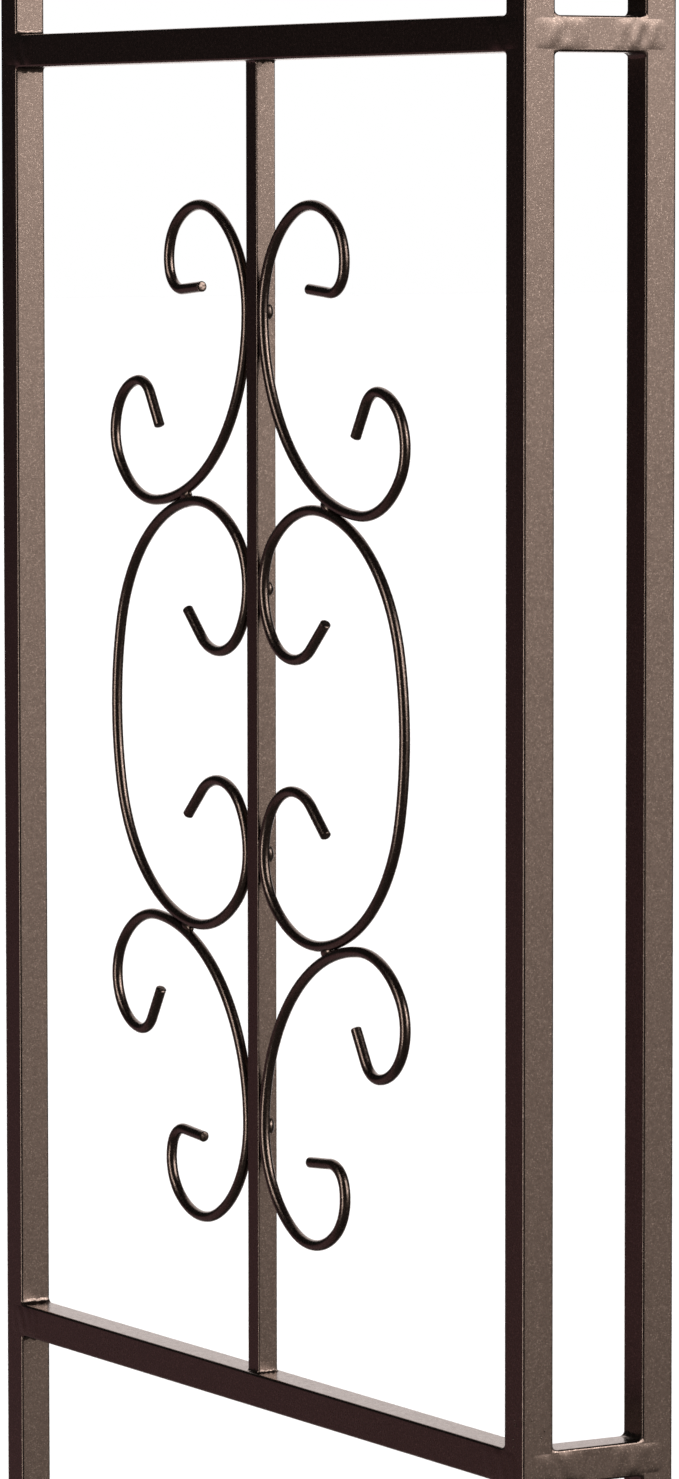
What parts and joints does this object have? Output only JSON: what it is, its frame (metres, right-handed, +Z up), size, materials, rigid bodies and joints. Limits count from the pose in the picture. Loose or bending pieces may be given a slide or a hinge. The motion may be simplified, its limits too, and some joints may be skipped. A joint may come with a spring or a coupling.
{
  "type": "metal trellis arch",
  "caption": "Free-standing garden arch of welded square tube with bent-rod scrollwork side panels and a double-rail curved front, for climbing plants.",
  "frame": {"origin": "on the ground, under the middle of the arch: centre of the bounding box's bottom face", "axes": "+X to the right seen from the front, +Y from the twin-rail front to the single-rail rear, +Z up"},
  "size_m": [1.46, 0.8, 2.266],
  "materials": {
    "powder_coat": "dark bronze powder coat with a fine metallic fleck, satin",
    "zinc_steel": "zinc-plated steel, satin",
    "screw_finish": "dark bronze coated steel, semi-gloss"
  },
  "bodies": {
    "root": {"left_outer_front_post": "powder_coat", "left_inner_front_post": "powder_coat", "left_rear_post": "powder_coat", "left_front_foot_plate": "powder_coat", "left_rear_foot_plate": "powder_coat", "left_front_bottom_rung": "powder_coat", "left_front_top_rung": "powder_coat", "left_panel_bottom_rail": "powder_coat", "left_panel_top_rail": "powder_coat", "left_panel_centre_bar": "powder_coat", "left_scroll_upper_front": "powder_coat", "left_scroll_upper_rear": "powder_coat", "left_scroll_middle_front": "powder_coat", "left_scroll_middle_rear": "powder_coat", "left_scroll_lower_front": "powder_coat", "left_scroll_lower_rear": "powder_coat", "left_front_outer_arch_rail": "powder_coat", "left_front_inner_arch_rail": "powder_coat", "left_rear_arch_rail": "powder_coat", "left_arch_rung_1": "powder_coat", "left_arch_rung_2": "powder_coat", "left_arch_rung_3": "powder_coat", "left_arch_rib_1": "powder_coat", "left_arch_rib_2": "powder_coat", "left_arch_rib_3": "powder_coat", "right_outer_front_post": "powder_coat", "right_inner_front_post": "powder_coat", "right_rear_post": "powder_coat", "right_front_foot_plate": "powder_coat", "right_rear_foot_plate": "powder_coat", "right_front_bottom_rung": "powder_coat", "right_front_top_rung": "powder_coat", "right_panel_bottom_rail": "powder_coat", "right_panel_top_rail": "powder_coat", "right_panel_centre_bar": "powder_coat", "right_scroll_upper_front": "powder_coat", "right_scroll_upper_rear": "powder_coat", "right_scroll_middle_front": "powder_coat", "right_scroll_middle_rear": "powder_coat", "right_scroll_lower_front": "powder_coat", "right_scroll_lower_rear": "powder_coat", "right_front_outer_arch_rail": "powder_coat", "right_front_inner_arch_rail": "powder_coat", "right_rear_arch_rail": "powder_coat", "right_arch_rung_1": "powder_coat", "right_arch_rung_2": "powder_coat", "right_arch_rung_3": "powder_coat", "right_arch_rib_1": "powder_coat", "right_arch_rib_2": "powder_coat", "right_arch_rib_3": "powder_coat", "post_sleeves": "zinc_steel", "crown_sleeves": "zinc_steel", "rib_plugs": "zinc_steel", "joint_nuts": "screw_finish", "joint_screws": "screw_finish", "rib_screws": "screw_finish"}
  },
  "joints": []
}
